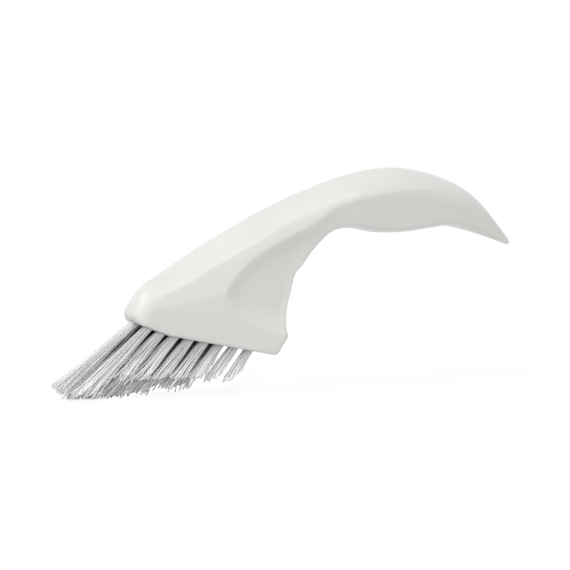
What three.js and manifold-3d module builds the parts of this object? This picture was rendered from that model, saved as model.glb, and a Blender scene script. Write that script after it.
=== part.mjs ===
// A one-piece moulded hand scrub brush with slanted bristle tufts, in millimetres.
// X runs from the nose (-X) to the tail of the handle (+X), Y is across, Z is up.
// The brush stands in its working pose, with its longest bristle tips on Z = 0.
import * as THREE from 'three';
import { mergeVertices } from 'three/addons/utils/BufferGeometryUtils.js';
import Module from 'manifold-3d';

const wasm = await Module();
wasm.setup();

// ---- Head: the block that holds the bristles --------------------------------------------
// The plate starts at the nose, on X = 0 here, and stations run along it with heights square to it.
const PLATE_START_HEIGHT = 23.5; // above the working surface
const PLATE_TILT = 12; // degrees, the plate falls towards the tail
const HEAD_LENGTH = 53.6; // from the plate's start to its rear edge
const WALL_HEIGHT = 9.2; // of the head's side wall
const NOSE_HALF_WIDTH = 7.0; // just behind the rounded nose
const REAR_HALF_WIDTH = 9.8;
const NOSE_REACH = 0.75; // the nose bulges this far ahead of the plate's start
const NOSE_ROUND = 7.0; // length over which the nose closes, seen from below
const NOSE_POWER = 2.4; // superellipse power of that curve, 2 is an ellipse
const REAR_SLANT = 18; // degrees from the plate's normal
const REAR_CHAMFER = 1.6; // on the head's upright rear corners
const BOW_LENGTH = 7.0; // the nose's lip lifts off the plate over this length
const BOW_HEIGHT = 5.0; // where the nose reaches furthest ahead
const BOW_BACK = 11.0; // station where the nose's top has risen to the wall's height
const BOW_POWER = 1.6;
const NOSE_LEAN = 0.287; // the cape's nose leans back by this much per mm above that height
const NOSE_TIP_MARGIN = 0.15; // and stays this far behind the block's own nose

// ---- Cape, neck and handle: ribs from the top line down to the underside -------------------
const BODY_LENGTH = 143.8; // from the plate's start to the tip of the tail
const BODY_RISE = 50.4; // from the plate's start to the top of the handle
const GRIP_HALF_WIDTH = 11.3;
// Side view points are [share of the length, share of the rise]. Each rib has its top there and
// a share of the grip's half width. On the head its foot is inside the block, at a share of the
// head's length, and behind it its foot is the underside.
const HEAD_RIBS = [
  { top: [0.007, 0.103], foot: 0.002, width: 0.28 },
  { top: [0.016, 0.198], foot: 0.035, width: 0.52 },
  { top: [0.042, 0.276], foot: 0.120, width: 0.53 },
  { top: [0.090, 0.362], foot: 0.254, width: 0.52 },
  { top: [0.163, 0.488], foot: 0.464, width: 0.50 },
  { top: [0.231, 0.591], foot: 0.632, width: 0.48 },
  { top: [0.327, 0.725], foot: 0.883, width: 0.53 },
  { top: [0.410, 0.821], foot: 1.008, width: 0.63 },
];
const HANDLE_RIBS = [
  { top: [0.459, 0.866], under: [0.407, 0.079], width: 0.735 },
  { top: [0.501, 0.905], under: [0.416, 0.248], width: 0.81 },
  { top: [0.535, 0.933], under: [0.443, 0.387], width: 0.855 },
  { top: [0.567, 0.955], under: [0.479, 0.504], width: 0.893 },
  { top: [0.598, 0.974], under: [0.519, 0.592], width: 0.93 },
  { top: [0.633, 0.990], under: [0.570, 0.611], width: 0.965 },
  { top: [0.685, 1.000], under: [0.643, 0.568], width: 1.0 },
  { top: [0.744, 0.980], under: [0.716, 0.563], width: 1.0 },
  { top: [0.807, 0.930], under: [0.779, 0.580], width: 0.945 },
  { top: [0.867, 0.854], under: [0.828, 0.589], width: 0.83 },
  { top: [0.915, 0.753], under: [0.880, 0.554], width: 0.635 },
  { top: [0.958, 0.621], under: [0.935, 0.502], width: 0.39 },
  { top: [1.000, 0.461], under: [0.995, 0.440], width: 0.1 },
];
// The crease where the full cape turns into the hollowed flank, seen from the side
const CREASE = [
  [0.232, 0.060], [0.233, 0.129], [0.236, 0.218], [0.254, 0.292], [0.293, 0.401],
  [0.337, 0.484], [0.389, 0.560], [0.448, 0.643], [0.522, 0.760], [0.581, 0.812],
  [0.652, 0.849], [0.730, 0.863], [0.800, 0.843], [0.862, 0.776], [0.918, 0.677],
  [0.967, 0.546], [0.999, 0.442],
];
const FOOT_HEIGHT = 3.4; // of the head ribs' feet above the plate, inside the block
const NOSE_CROWN_DEPTH = 3.4; // below the top line a rib has its ridge, where the side begins
const CROWN_DEPTH = 9.8;
const CROWN_LENGTH = 46; // from the nose to where the crown is fully deep
// On the head the crown is a roof with straight slopes. At the nose it has a flat top, whose edge
// lies at these shares of the crown's depth and of the half width.
const KNEE_DEPTH = 0.42;
const KNEE_WIDTH = 0.84;
const FLAT_TOP_END = 28; // behind the nose, where the flat top has run out
const GRIP_CROWN_START = 50; // behind the nose, where the roof starts to turn into a round crown
const GRIP_CROWN_BLEND = 40; // length of that change
const GRIP_CROWN_POWER = 2.0; // superellipse power of the round crown
const NOSE_FLARE = 0.31; // the cape's side widens by this much per mm of depth
const SIDE_FLARE = 0.26;
const FLARE_END = 36; // station from which it has the second of these
const FLARE_LENGTH = 20; // ahead of the head's rear edge, over which the flare fades in
const WALL_STEP = 0.25; // the cape stands this far inside the head's side wall
const SCOOP_DEPTH = 3.2; // of the hollowed flank on the head
const SCOOP_SLOPE = 0.8; // how sharply it turns in at the crease
const FLANK_SLOPE = 0.3; // the handle's flank narrows by this much per mm
const FLANK_DEPTH = 20; // and would level out at this depth
const FLANK_LIMIT = 0.5; // share of a rib's half width that the flank can take away
const FLANK_START_OFFSET = 59; // behind the plate's start, where the scoop turns into the handle's flank
const FLANK_BLEND_LENGTH = 26; // length of that change
const LEDGE_START = 29; // station from which the head has a ledge below the scoop
const LEDGE_HEIGHT = 7.6; // of the ledge above the plate, at the rear
const LEDGE_RISE = 0.0105; // it climbs forward by this much times the square of the distance
const LEDGE_FILLET = 4.5; // height over which the scoop runs out onto that ledge, at its start
const REAR_LEDGE_FILLET = 10.0;
const LEDGE_STEPS = 6;
const UNDER_ROUND = 3.5; // rounding of the underside's edges
const UNDER_ROUND_SHARE = 0.35; // and at most this share of a rib's length
const UNDER_POWER = 2.0; // superellipse power of that rounding
const CREASE_CLEARANCE = 0.92; // share of the way down to the crease that the crown can take
const CREASE_FOOT = 0.55; // share of a rib above the crease's lower end
const RIBS_PER_SPAN = 3; // ribs made for each one listed
const CROWN_ROWS = 5;
const SIDE_ROWS = 3; // from the crown to the crease
const FLANK_ROWS = 8; // from the crease to the underside's rounding
const UNDER_ROWS = 3;

// ---- Bristle tufts ---------------------------------------------------------------------------
const OUTER_TUFTS = 8; // in each side row
const MIDDLE_TUFTS = 6; // between the side rows, behind the nose tuft
const TUFT_PITCH = 5.5; // along the plate, in the side rows
const FIRST_OUTER_STATION = 5.2;
const NOSE_TUFT_STATION = 1.2;
const FIRST_MIDDLE_STATION = 6.3;
const MIDDLE_PITCH = 5.3;
const FIRST_ROW_OFFSET = 4.3; // from the middle to a side row, at the nose
const LAST_ROW_OFFSET = 5.9; // and at the rear
const TUFT_LEAN = 4; // degrees, the side rows lean outwards
const FIRST_OUTER_SLANT = 47.6; // degrees from vertical
const LAST_OUTER_SLANT = 36.5;
const NOSE_SLANT = 52;
const FIRST_MIDDLE_SLANT = 49;
const LAST_MIDDLE_SLANT = 43;
const NOSE_TIP_HEIGHT = 2.5; // above the working surface
const FIRST_OUTER_TIP_HEIGHT = 0.7;
const SECOND_OUTER_TIP_HEIGHT = 7.0;
const LAST_OUTER_TIP_HEIGHT = 5.7;
const FLAT_TRIM_END = 22.2; // the middle row touches the surface as far as this station
const TRIM_RISE = 0.28; // and behind it the tips rise by this much per mm
const NOSE_TRIM_SLOPE = -0.9; // the nose tuft's trimmed face rises forward by this much per mm
const REAR_TRIM_SLOPE = 0.45; // and the last tufts' faces rise to the rear
const REAR_TRIM_TUFTS = 2; // at the end of each side row
const TUFT_SIDES = 8;
const HOLE_RADIUS = 1.8;
const HOLE_DEPTH = 6.5; // along the tuft
const HOLE_MOUTH = 6.0; // a hole's cutter runs on below the plate, past the raised lip
const TUFT_CLEARANCE = 0.15; // between a tuft and the wall of its hole
const TIP_SPREAD = 0.03; // a tuft's radius grows by this much per mm of length
const SEAT_GAP = 0.3; // between pieces that touch

// ---- Anchors: flat wire strips that hold the folded tufts in their holes ------------------------
const ANCHOR_THICKNESS = 0.4;
const ANCHOR_HEIGHT = 1.8; // along the tuft
const ANCHOR_BITE = 0.5; // each end reaches this far into the hole's wall
const ANCHOR_FOOT = 1.0; // bristle fold left below the anchor
const ANCHOR_TURN = 45; // degrees about the tuft, from fore and aft
const NOSE_ANCHOR_TURN = 90; // the nose tuft's lies across, clear of its neighbours' holes

function radians(degrees) {
  return degrees * Math.PI / 180;
}

function mix(a, b, t) {
  return a + (b - a) * t;
}

function clamp01(t) {
  return Math.min(1, Math.max(0, t));
}

function smoothStep(t) {
  const inside = clamp01(t);
  return inside * inside * (3 - 2 * inside);
}

// Height of a superellipse's quarter at a share of its length
function superellipse(share, power) {
  return Math.pow(1 - Math.pow(clamp01(share), power), 1 / power);
}

// ---- Plate frame -----------------------------------------------------------------------------
function plateMatrix() {
  const matrix = new THREE.Matrix4().makeRotationY(radians(PLATE_TILT));
  return matrix.setPosition(0, 0, PLATE_START_HEIGHT);
}

function fromPlate(station, y, height) {
  return new THREE.Vector3(station, y, height).applyMatrix4(plateMatrix());
}

function toPlate(x, z) {
  const local = new THREE.Vector3(x, 0, z).applyMatrix4(plateMatrix().invert());
  return { station: local.x, height: local.z };
}

// Half width of the head at a station along the plate
function headHalfWidth(station) {
  const roundEnd = NOSE_ROUND - NOSE_REACH;
  const along = (station - roundEnd) / (HEAD_LENGTH - roundEnd);
  const sides = mix(NOSE_HALF_WIDTH, REAR_HALF_WIDTH, along);
  return sides * superellipse((roundEnd - station) / NOSE_ROUND, NOSE_POWER);
}

// ---- Solids ------------------------------------------------------------------------------------
function solidFrom(geometry) {
  const bare = geometry.clone();
  bare.deleteAttribute('normal');
  bare.deleteAttribute('uv');
  const merged = mergeVertices(bare, 1e-4);
  return new wasm.Manifold(new wasm.Mesh({
    numProp: 3,
    vertProperties: new Float32Array(merged.attributes.position.array),
    triVerts: new Uint32Array(merged.index.array),
  }));
}

function geometryFrom(solid) {
  const mesh = solid.getMesh();
  const geometry = new THREE.BufferGeometry();
  geometry.setAttribute('position', new THREE.BufferAttribute(mesh.vertProperties, 3));
  geometry.setIndex(new THREE.BufferAttribute(mesh.triVerts, 1));
  return geometry;
}

// Closed skin over rings that all have the same number of points
function loft(rings) {
  const count = rings[0].length;
  const index = [];
  for (let i = 0; i + 1 < rings.length; i += 1) {
    for (let j = 0; j < count; j += 1) {
      const next = (j + 1) % count;
      const a = i * count + j;
      const b = i * count + next;
      index.push(a, b, b + count, a, b + count, a + count);
    }
  }
  const last = (rings.length - 1) * count;
  for (let j = 1; j + 1 < count; j += 1) {
    index.push(0, j + 1, j);
    index.push(last, last + j, last + j + 1);
  }
  const geometry = new THREE.BufferGeometry().setFromPoints(rings.flat());
  geometry.setIndex(index);
  return geometry;
}

// ---- Cape, neck and handle ------------------------------------------------------------------------
function headFoot(share) {
  const foot = fromPlate(share * HEAD_LENGTH, 0, FOOT_HEIGHT);
  return new THREE.Vector2(foot.x, foot.z);
}

// A side view point from its shares of the length and the rise
function sidePoint([along, up]) {
  return new THREE.Vector2(along * BODY_LENGTH, PLATE_START_HEIGHT + up * BODY_RISE);
}

const topLine = new THREE.SplineCurve(
  [...HEAD_RIBS, ...HANDLE_RIBS].map((rib) => sidePoint(rib.top)),
);
const underLine = new THREE.SplineCurve([
  ...HEAD_RIBS.map((rib) => headFoot(rib.foot)),
  ...HANDLE_RIBS.map((rib) => sidePoint(rib.under)),
]);
const widthLine = new THREE.SplineCurve(
  [...HEAD_RIBS, ...HANDLE_RIBS].map((rib, i) => new THREE.Vector2(i, rib.width)),
);
const creaseLine = new THREE.SplineCurve(CREASE.map(sidePoint)).getPoints(6 * CREASE.length);

// Distance from the crease, positive on the hollowed side
function pastCrease(at) {
  let nearest = Infinity;
  let side = 1;
  for (let i = 0; i + 1 < creaseLine.length; i += 1) {
    const run = creaseLine[i + 1].clone().sub(creaseLine[i]);
    const away = at.clone().sub(creaseLine[i]);
    const share = clamp01(away.dot(run) / run.lengthSq());
    const distance = away.clone().addScaledVector(run, -share).length();
    if (distance < nearest) {
      nearest = distance;
      side = Math.sign(run.cross(away));
    }
  }
  return side > 0 ? -nearest : nearest;
}

// How far the flank lies inside the cape's own side
function flankDepth(at) {
  const past = Math.max(0, pastCrease(at));
  const onHandle = clamp01((at.x - FLANK_START_OFFSET) / FLANK_BLEND_LENGTH);
  const slope = mix(SCOOP_SLOPE, FLANK_SLOPE, onHandle);
  const limit = mix(SCOOP_DEPTH, FLANK_DEPTH, onHandle);
  return limit * (1 - Math.exp(-past * slope / limit));
}

function ledgeHeight(station) {
  return LEDGE_HEIGHT + LEDGE_RISE * Math.max(0, HEAD_LENGTH - station) ** 2;
}

// How far the scoop widens near the head's ledge, as a concave fillet
function ledgeFlare(plate, half) {
  if (plate.station < LEDGE_START) return 0;
  const along = clamp01((plate.station - LEDGE_START) / (HEAD_LENGTH - LEDGE_START));
  const fillet = mix(LEDGE_FILLET, REAR_LEDGE_FILLET, along);
  const height = clamp01((plate.height - ledgeHeight(plate.station)) / fillet);
  const room = headHalfWidth(plate.station) - WALL_STEP - half;
  return Math.max(0, room) * (1 - height) ** 2;
}

// Half width of the cape, neck and handle before its top and underside are rounded
function sideHalfWidth(at, width, belowCrown) {
  const plate = toPlate(at.x, at.y);
  const fading = clamp01((HEAD_LENGTH - plate.station) / FLARE_LENGTH);
  const flare = fading * mix(NOSE_FLARE, SIDE_FLARE, clamp01(plate.station / FLARE_END));
  const hollow = Math.min(flankDepth(at), FLANK_LIMIT * width);
  let half = width + flare * belowCrown - hollow;
  if (plate.station < HEAD_LENGTH) {
    const leaned = plate.station - NOSE_LEAN * Math.max(0, plate.height - BOW_HEIGHT);
    const behindNose = Math.max(leaned, NOSE_TIP_MARGIN - NOSE_REACH);
    half = Math.min(half, headHalfWidth(behindNose) - WALL_STEP);
  }
  return half + ledgeFlare(plate, half);
}

// Depth below the top line at which a rib meets the crease
function creaseDepth(top, under) {
  const STEPS = 80;
  let share = CREASE_FOOT;
  for (let i = STEPS - 1; i > 0; i -= 1) {
    if (pastCrease(top.clone().lerp(under, i / STEPS)) > 0) share = i / STEPS;
  }
  return Math.min(share, CREASE_FOOT) * top.distanceTo(under);
}

// Depths below the top line at which a rib has its points
function ribDepths(length, crown, crease, round) {
  const depths = [];
  for (let j = 0; j <= CROWN_ROWS; j += 1) {
    depths.push(crown * (1 - Math.cos(radians(90 * j / CROWN_ROWS))));
  }
  for (let j = 1; j <= SIDE_ROWS; j += 1) {
    depths.push(mix(crown, crease, j / SIDE_ROWS));
  }
  for (let j = 1; j <= FLANK_ROWS; j += 1) {
    depths.push(mix(crease, length - round, Math.pow(j / FLANK_ROWS, 1.3)));
  }
  for (let j = 1; j <= UNDER_ROWS; j += 1) {
    depths.push(length - round * (1 - Math.sin(radians(90 * j / UNDER_ROWS))));
  }
  return depths;
}

// Share of the half width that the crown has at a share of its depth, as a roof
function roofWidth(share, topX) {
  const knee = mix(KNEE_WIDTH, KNEE_DEPTH, smoothStep(topX / FLAT_TOP_END));
  const onTop = share * knee / KNEE_DEPTH;
  const belowKnee = knee + (share - KNEE_DEPTH) * (1 - knee) / (1 - KNEE_DEPTH);
  return Math.min(onTop, belowKnee, 1);
}

function ribRing(t) {
  const top = topLine.getPoint(t);
  const under = underLine.getPoint(t);
  const width = GRIP_HALF_WIDTH * widthLine.getPoint(t).y;
  const length = top.distanceTo(under);
  const crease = creaseDepth(top, under);
  const deepest = mix(NOSE_CROWN_DEPTH, CROWN_DEPTH, clamp01(top.x / CROWN_LENGTH));
  const crown = Math.min(deepest, CREASE_CLEARANCE * crease);
  const round = Math.min(UNDER_ROUND, UNDER_ROUND_SHARE * length);
  const onGrip = smoothStep((top.x - GRIP_CROWN_START) / GRIP_CROWN_BLEND);
  const power = mix(1, GRIP_CROWN_POWER, onGrip);
  const side = ribDepths(length, crown, crease, round).map((depth) => {
    const at = top.clone().lerp(under, depth / length);
    const roof = 1 - roofWidth(depth / crown, top.x);
    const above = mix(roof, clamp01(1 - depth / crown) ** GRIP_CROWN_POWER, onGrip);
    const below = clamp01(1 - (length - depth) / round) ** UNDER_POWER;
    const closing = clamp01(1 - above - below) ** (1 / power);
    const half = closing * sideHalfWidth(at, width, Math.max(0, depth - crown));
    return new THREE.Vector3(at.x, -half, at.y);
  });
  const mirrored = side.slice(1, -1).reverse();
  return [...side, ...mirrored.map((point) => new THREE.Vector3(point.x, -point.y, point.z))];
}

function makeCape() {
  const steps = RIBS_PER_SPAN * (topLine.points.length - 1);
  const rings = [];
  for (let i = 0; i <= steps; i += 1) {
    rings.push(ribRing(i / steps));
  }
  return loft(rings);
}

// ---- Head block --------------------------------------------------------------------------------
// The block's outline seen from below: rounded nose, spreading sides, chamfered rear
function planShape(rear) {
  const NOSE_POINTS = 9;
  const side = [];
  for (let i = 0; i <= NOSE_POINTS; i += 1) {
    const station = NOSE_ROUND * (1 - Math.cos(radians(90 * i / NOSE_POINTS))) - NOSE_REACH;
    side.push(new THREE.Vector2(station, headHalfWidth(station)));
  }
  side.push(new THREE.Vector2(rear - REAR_CHAMFER, headHalfWidth(rear)));
  side.push(new THREE.Vector2(rear, headHalfWidth(rear) - REAR_CHAMFER));
  const otherSide = side.slice(1).reverse().map((point) => new THREE.Vector2(point.x, -point.y));
  return new THREE.Shape([...side, ...otherSide]);
}

// The block's outline seen from the side: bowed nose, flat plate, slanted rear, rising ledge
function profileShape(rear) {
  const BOW_POINTS = 6;
  const outline = [
    new THREE.Vector2(HEAD_LENGTH, 0),
    new THREE.Vector2(rear, LEDGE_HEIGHT),
  ];
  for (let i = 0; i <= LEDGE_STEPS; i += 1) {
    const station = mix(HEAD_LENGTH, LEDGE_START, i / LEDGE_STEPS);
    outline.push(new THREE.Vector2(station, ledgeHeight(station)));
  }
  outline.push(new THREE.Vector2(LEDGE_START - SEAT_GAP, WALL_HEIGHT));
  for (let i = 0; i < BOW_POINTS; i += 1) {
    const share = 1 - i / BOW_POINTS;
    const ahead = (BOW_BACK + NOSE_REACH) * superellipse(share, BOW_POWER);
    outline.push(new THREE.Vector2(BOW_BACK - ahead, mix(BOW_HEIGHT, WALL_HEIGHT, share)));
  }
  for (let i = 0; i <= BOW_POINTS; i += 1) {
    const share = i / BOW_POINTS;
    const ahead = (BOW_LENGTH + NOSE_REACH) * superellipse(share, BOW_POWER);
    outline.push(new THREE.Vector2(BOW_LENGTH - ahead, mix(BOW_HEIGHT, 0, share)));
  }
  return new THREE.Shape(outline);
}

function makeBlock() {
  const rear = HEAD_LENGTH + LEDGE_HEIGHT * Math.tan(radians(REAR_SLANT));
  const height = ledgeHeight(LEDGE_START);
  const depth = height + 2 * WALL_HEIGHT;
  const plan = new THREE.ExtrudeGeometry(planShape(rear), { depth, bevelEnabled: false });
  plan.translate(0, 0, (height - depth) / 2);
  const width = 3 * REAR_HALF_WIDTH;
  const side = new THREE.ExtrudeGeometry(profileShape(rear), { depth: width, bevelEnabled: false });
  side.translate(0, 0, -width / 2);
  side.rotateX(Math.PI / 2);
  const block = geometryFrom(solidFrom(plan).intersect(solidFrom(side)));
  return block.applyMatrix4(plateMatrix());
}

// ---- Tufts, their holes and their anchors --------------------------------------------------------
function noseTuft() {
  return {
    name: 'nose',
    station: NOSE_TUFT_STATION,
    y: 0,
    slant: NOSE_SLANT,
    lean: 0,
    tip: NOSE_TIP_HEIGHT,
    trimSlope: NOSE_TRIM_SLOPE,
    turn: NOSE_ANCHOR_TURN,
  };
}

function middleTuft(i) {
  const station = FIRST_MIDDLE_STATION + i * MIDDLE_PITCH;
  return {
    name: `middle_${i + 1}`,
    station,
    y: 0,
    slant: mix(FIRST_MIDDLE_SLANT, LAST_MIDDLE_SLANT, i / (MIDDLE_TUFTS - 1)),
    lean: 0,
    tip: TRIM_RISE * Math.max(0, station - FLAT_TRIM_END),
    trimSlope: 0,
    turn: ANCHOR_TURN,
  };
}

function outerTuft(i, side, sign) {
  const along = i / (OUTER_TUFTS - 1);
  const behindSecond = (i - 1) / (OUTER_TUFTS - 2);
  const rowTip = mix(SECOND_OUTER_TIP_HEIGHT, LAST_OUTER_TIP_HEIGHT, behindSecond);
  return {
    name: `${side}_${i + 1}`,
    station: FIRST_OUTER_STATION + i * TUFT_PITCH,
    y: sign * mix(FIRST_ROW_OFFSET, LAST_ROW_OFFSET, along),
    slant: mix(FIRST_OUTER_SLANT, LAST_OUTER_SLANT, along),
    lean: sign * TUFT_LEAN,
    tip: i === 0 ? FIRST_OUTER_TIP_HEIGHT : rowTip,
    trimSlope: i < OUTER_TUFTS - REAR_TRIM_TUFTS ? 0 : REAR_TRIM_SLOPE,
    turn: ANCHOR_TURN,
  };
}

function tuftLayout() {
  const tufts = [noseTuft()];
  for (let i = 0; i < MIDDLE_TUFTS; i += 1) {
    tufts.push(middleTuft(i));
  }
  for (let i = 0; i < OUTER_TUFTS; i += 1) {
    tufts.push(outerTuft(i, 'left', -1));
    tufts.push(outerTuft(i, 'right', 1));
  }
  return tufts;
}

// Root point on the plate, three directions (down the tuft, fore, across) and the anchor's turn
function tuftFrame(tuft) {
  const root = fromPlate(tuft.station, tuft.y, 0);
  const slope = Math.tan(radians(tuft.slant));
  const down = new THREE.Vector3(-slope, Math.tan(radians(tuft.lean)), -1).normalize();
  const fore = new THREE.Vector3(0, 1, 0).cross(down).normalize();
  const across = down.clone().cross(fore);
  return { root, down, fore, across, turn: tuft.turn };
}

// Ring of points round the tuft's axis, a distance down it
function tuftRing(frame, distance, radius) {
  const ring = [];
  for (let j = 0; j < TUFT_SIDES; j += 1) {
    const turn = radians(360 * (j + 0.5) / TUFT_SIDES);
    ring.push(frame.root.clone()
      .addScaledVector(frame.down, distance)
      .addScaledVector(frame.fore, radius * Math.cos(turn))
      .addScaledVector(frame.across, radius * Math.sin(turn)));
  }
  return ring;
}

// The anchor as a bar across the tuft's axis, or with a gap all round as the room it needs
function anchorBar(frame, gap) {
  const bar = new THREE.BoxGeometry(
    2 * (HOLE_RADIUS + ANCHOR_BITE + gap),
    ANCHOR_THICKNESS + 2 * gap,
    ANCHOR_HEIGHT + 2 * gap,
  );
  bar.rotateZ(radians(frame.turn));
  const inward = HOLE_DEPTH - SEAT_GAP - ANCHOR_FOOT - ANCHOR_HEIGHT / 2;
  const matrix = new THREE.Matrix4().makeBasis(frame.fore, frame.across, frame.down);
  matrix.setPosition(frame.root.clone().addScaledVector(frame.down, -inward));
  return bar.applyMatrix4(matrix);
}

function makeHole(tuft) {
  const frame = tuftFrame(tuft);
  const bore = loft([
    tuftRing(frame, -HOLE_DEPTH, HOLE_RADIUS),
    tuftRing(frame, HOLE_MOUTH, HOLE_RADIUS),
  ]);
  return solidFrom(bore).add(solidFrom(anchorBar(frame, SEAT_GAP)));
}

// Moves a tip ring along the tuft's edges onto a plane through a centre, which rises with X
function trim(rootRing, tipRing, centre, slope) {
  const above = (point) => point.z - centre.z - slope * (point.x - centre.x);
  return tipRing.map((point, j) => {
    const from = rootRing[j];
    return from.clone().lerp(point, above(from) / (above(from) - above(point)));
  });
}

function makeTuft(tuft) {
  const frame = tuftFrame(tuft);
  const rootRadius = HOLE_RADIUS - TUFT_CLEARANCE;
  const length = (frame.root.z - tuft.tip) / -frame.down.z;
  const rootRing = tuftRing(frame, 0, rootRadius);
  const tipRing = tuftRing(frame, length, rootRadius + TIP_SPREAD * length);
  const centre = frame.root.clone().addScaledVector(frame.down, length);
  const bundle = loft([
    tuftRing(frame, SEAT_GAP - HOLE_DEPTH, rootRadius),
    rootRing,
    trim(rootRing, tipRing, centre, tuft.trimSlope),
  ]);
  return geometryFrom(solidFrom(bundle).subtract(solidFrom(anchorBar(frame, SEAT_GAP))));
}

function makeBody(tufts) {
  let body = solidFrom(makeCape()).add(solidFrom(makeBlock()));
  for (const tuft of tufts) {
    body = body.subtract(makeHole(tuft));
  }
  return geometryFrom(body);
}

// ---- Assembly ------------------------------------------------------------------------------------
const white = new THREE.MeshStandardMaterial({ color: 0xeeeeea, roughness: 0.35, metalness: 0 });
const nylon = new THREE.MeshStandardMaterial({ color: 0xcdd0d2, roughness: 0.5, metalness: 0 });
const steel = new THREE.MeshStandardMaterial({ color: 0xb0b2b4, roughness: 0.35, metalness: 1 });

const brush = new THREE.Group();

function addPiece(name, geometry, material) {
  const piece = new THREE.Mesh(geometry, material);
  piece.name = name;
  brush.add(piece);
}

const tufts = tuftLayout();
addPiece('body_moulding', makeBody(tufts), white);
for (const tuft of tufts) {
  addPiece(`tuft_${tuft.name}`, makeTuft(tuft), nylon);
  addPiece(`anchor_${tuft.name}`, anchorBar(tuftFrame(tuft), 0), steel);
}

// The origin lies under the middle of the brush's length
const extent = new THREE.Box3().setFromObject(brush);
brush.position.x = -(extent.min.x + extent.max.x) / 2;

const group = new THREE.Group();
group.add(brush);

export default group;
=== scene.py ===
import math

import bpy
import numpy as np
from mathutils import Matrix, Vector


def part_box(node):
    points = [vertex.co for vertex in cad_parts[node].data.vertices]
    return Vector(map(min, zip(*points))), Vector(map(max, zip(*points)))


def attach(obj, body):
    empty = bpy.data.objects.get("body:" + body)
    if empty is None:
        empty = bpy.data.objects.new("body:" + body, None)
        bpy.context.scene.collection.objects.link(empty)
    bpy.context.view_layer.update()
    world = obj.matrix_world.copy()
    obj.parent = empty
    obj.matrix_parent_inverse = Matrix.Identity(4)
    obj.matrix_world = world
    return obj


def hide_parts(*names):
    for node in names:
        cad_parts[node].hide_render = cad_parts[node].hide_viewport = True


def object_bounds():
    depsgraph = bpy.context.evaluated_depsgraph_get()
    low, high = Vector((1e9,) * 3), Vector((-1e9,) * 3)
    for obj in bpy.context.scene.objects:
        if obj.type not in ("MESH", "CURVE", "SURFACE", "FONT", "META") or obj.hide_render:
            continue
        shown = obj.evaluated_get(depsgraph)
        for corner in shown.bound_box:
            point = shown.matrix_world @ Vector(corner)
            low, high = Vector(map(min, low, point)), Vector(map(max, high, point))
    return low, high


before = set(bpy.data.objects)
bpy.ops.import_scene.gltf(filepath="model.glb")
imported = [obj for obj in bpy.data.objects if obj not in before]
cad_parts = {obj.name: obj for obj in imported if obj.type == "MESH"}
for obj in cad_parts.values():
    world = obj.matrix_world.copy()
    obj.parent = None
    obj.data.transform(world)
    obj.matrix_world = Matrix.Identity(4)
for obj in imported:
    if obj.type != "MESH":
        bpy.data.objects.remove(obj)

import openvdb
from mathutils import Matrix, Vector

# A moulded white hand brush with slanted nylon tufts. Sizes are in millimetres, heights are
# above the working surface, and stations run along the bristle plate from its start at the nose.
cad_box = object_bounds()
MM = 0.001

# ---- Driving sizes of the body ---------------------------------------------------------------
PLATE_START_HEIGHT = 23.5
PLATE_TILT = math.radians(12)
HEAD_LENGTH = 53.6
WALL_HEIGHT = 9.2
NOSE_HALF_WIDTH = 7.0
REAR_HALF_WIDTH = 9.8
WIDEST_SHARE = 1.2  # behind the rear the block's sides go on widening up to this share
NOSE_REACH = 0.6
FOREMOST_STATION = 0.02 - NOSE_REACH  # the cape has some width up to here
NOSE_ROUND = 7.0
NOSE_POWER = 2.4
REAR_SLANT = math.radians(21)
REAR_STEP = 0.25  # allows for what the rounding takes off the rear corner
REAR_CORNER_ROUNDING = 2.7
PLATE_RISE_END = 13.5  # ahead of this station the plate rises towards the nose
PLATE_RISE = 0.18
CURL_END = 3.5  # ahead of this station it rises with the square of the distance as well
CURL = 0.13
BOW_LENGTH = 1.6  # the lip at the nose is rounded off over this length and height
BOW_HEIGHT = 2.0
BOW_POWER = 1.8
LIP_ROUNDING = 1.1  # of the lower edge at the nose, which falls to EDGE_ROUNDING at LIP_LENGTH
LIP_LENGTH = 12.0
EDGE_ROUNDING = 0.8
NOSE_LEAN = 0.287  # the front leans back by this share of its height, from NOSE_LEAN_START up
NOSE_LEAN_START = 4.9
NOSE_TOP_HEIGHT = 6.0
NOSE_TOP_LENGTH = 8.0
LEDGE_RISE = 0.0105  # the ledge climbs to the crease with the square of the distance from the rear
LEDGE_HEIGHT = 8.0  # of the ledge's edge over the plate, at the rear
BODY_LENGTH = 143.8
BODY_RISE = 50.4
GRIP_HALF_WIDTH = 11.3
FOOT_HEIGHT = 3.4
# Side view points are shares of the length and the rise, feet are shares of the head's length,
# and widths are shares of the grip's.
HEAD_TOPS = [
    (0.004, 0.114), (0.016, 0.203), (0.042, 0.275), (0.090, 0.359),
    (0.163, 0.485), (0.231, 0.591), (0.327, 0.725), (0.410, 0.821),
]
HEAD_FEET = [0.002, 0.035, 0.120, 0.254, 0.464, 0.632, 0.883, 1.008]
HANDLE_TOPS = [
    (0.459, 0.866), (0.501, 0.905), (0.535, 0.933), (0.567, 0.955), (0.598, 0.974),
    (0.633, 0.990), (0.685, 0.999), (0.744, 0.980), (0.807, 0.930), (0.867, 0.854),
    (0.915, 0.753), (0.958, 0.621), (1.000, 0.474),
]
HANDLE_UNDERS = [
    (0.406, 0.079), (0.4125, 0.258), (0.4455, 0.387), (0.479, 0.504), (0.516, 0.590),
    (0.570, 0.606), (0.643, 0.568), (0.716, 0.563), (0.779, 0.580), (0.828, 0.589),
    (0.880, 0.556), (0.935, 0.505), (0.998, 0.438),
]
WIDTHS = [
    0.30, 0.52, 0.53, 0.52, 0.50, 0.48, 0.53, 0.63, 0.735, 0.81, 0.855, 0.893, 0.93, 0.965,
    1.0, 1.0, 0.945, 0.83, 0.635, 0.39, 0.16,
]
RIB_STEPS = 30  # of the curves from each of these points to the next
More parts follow.
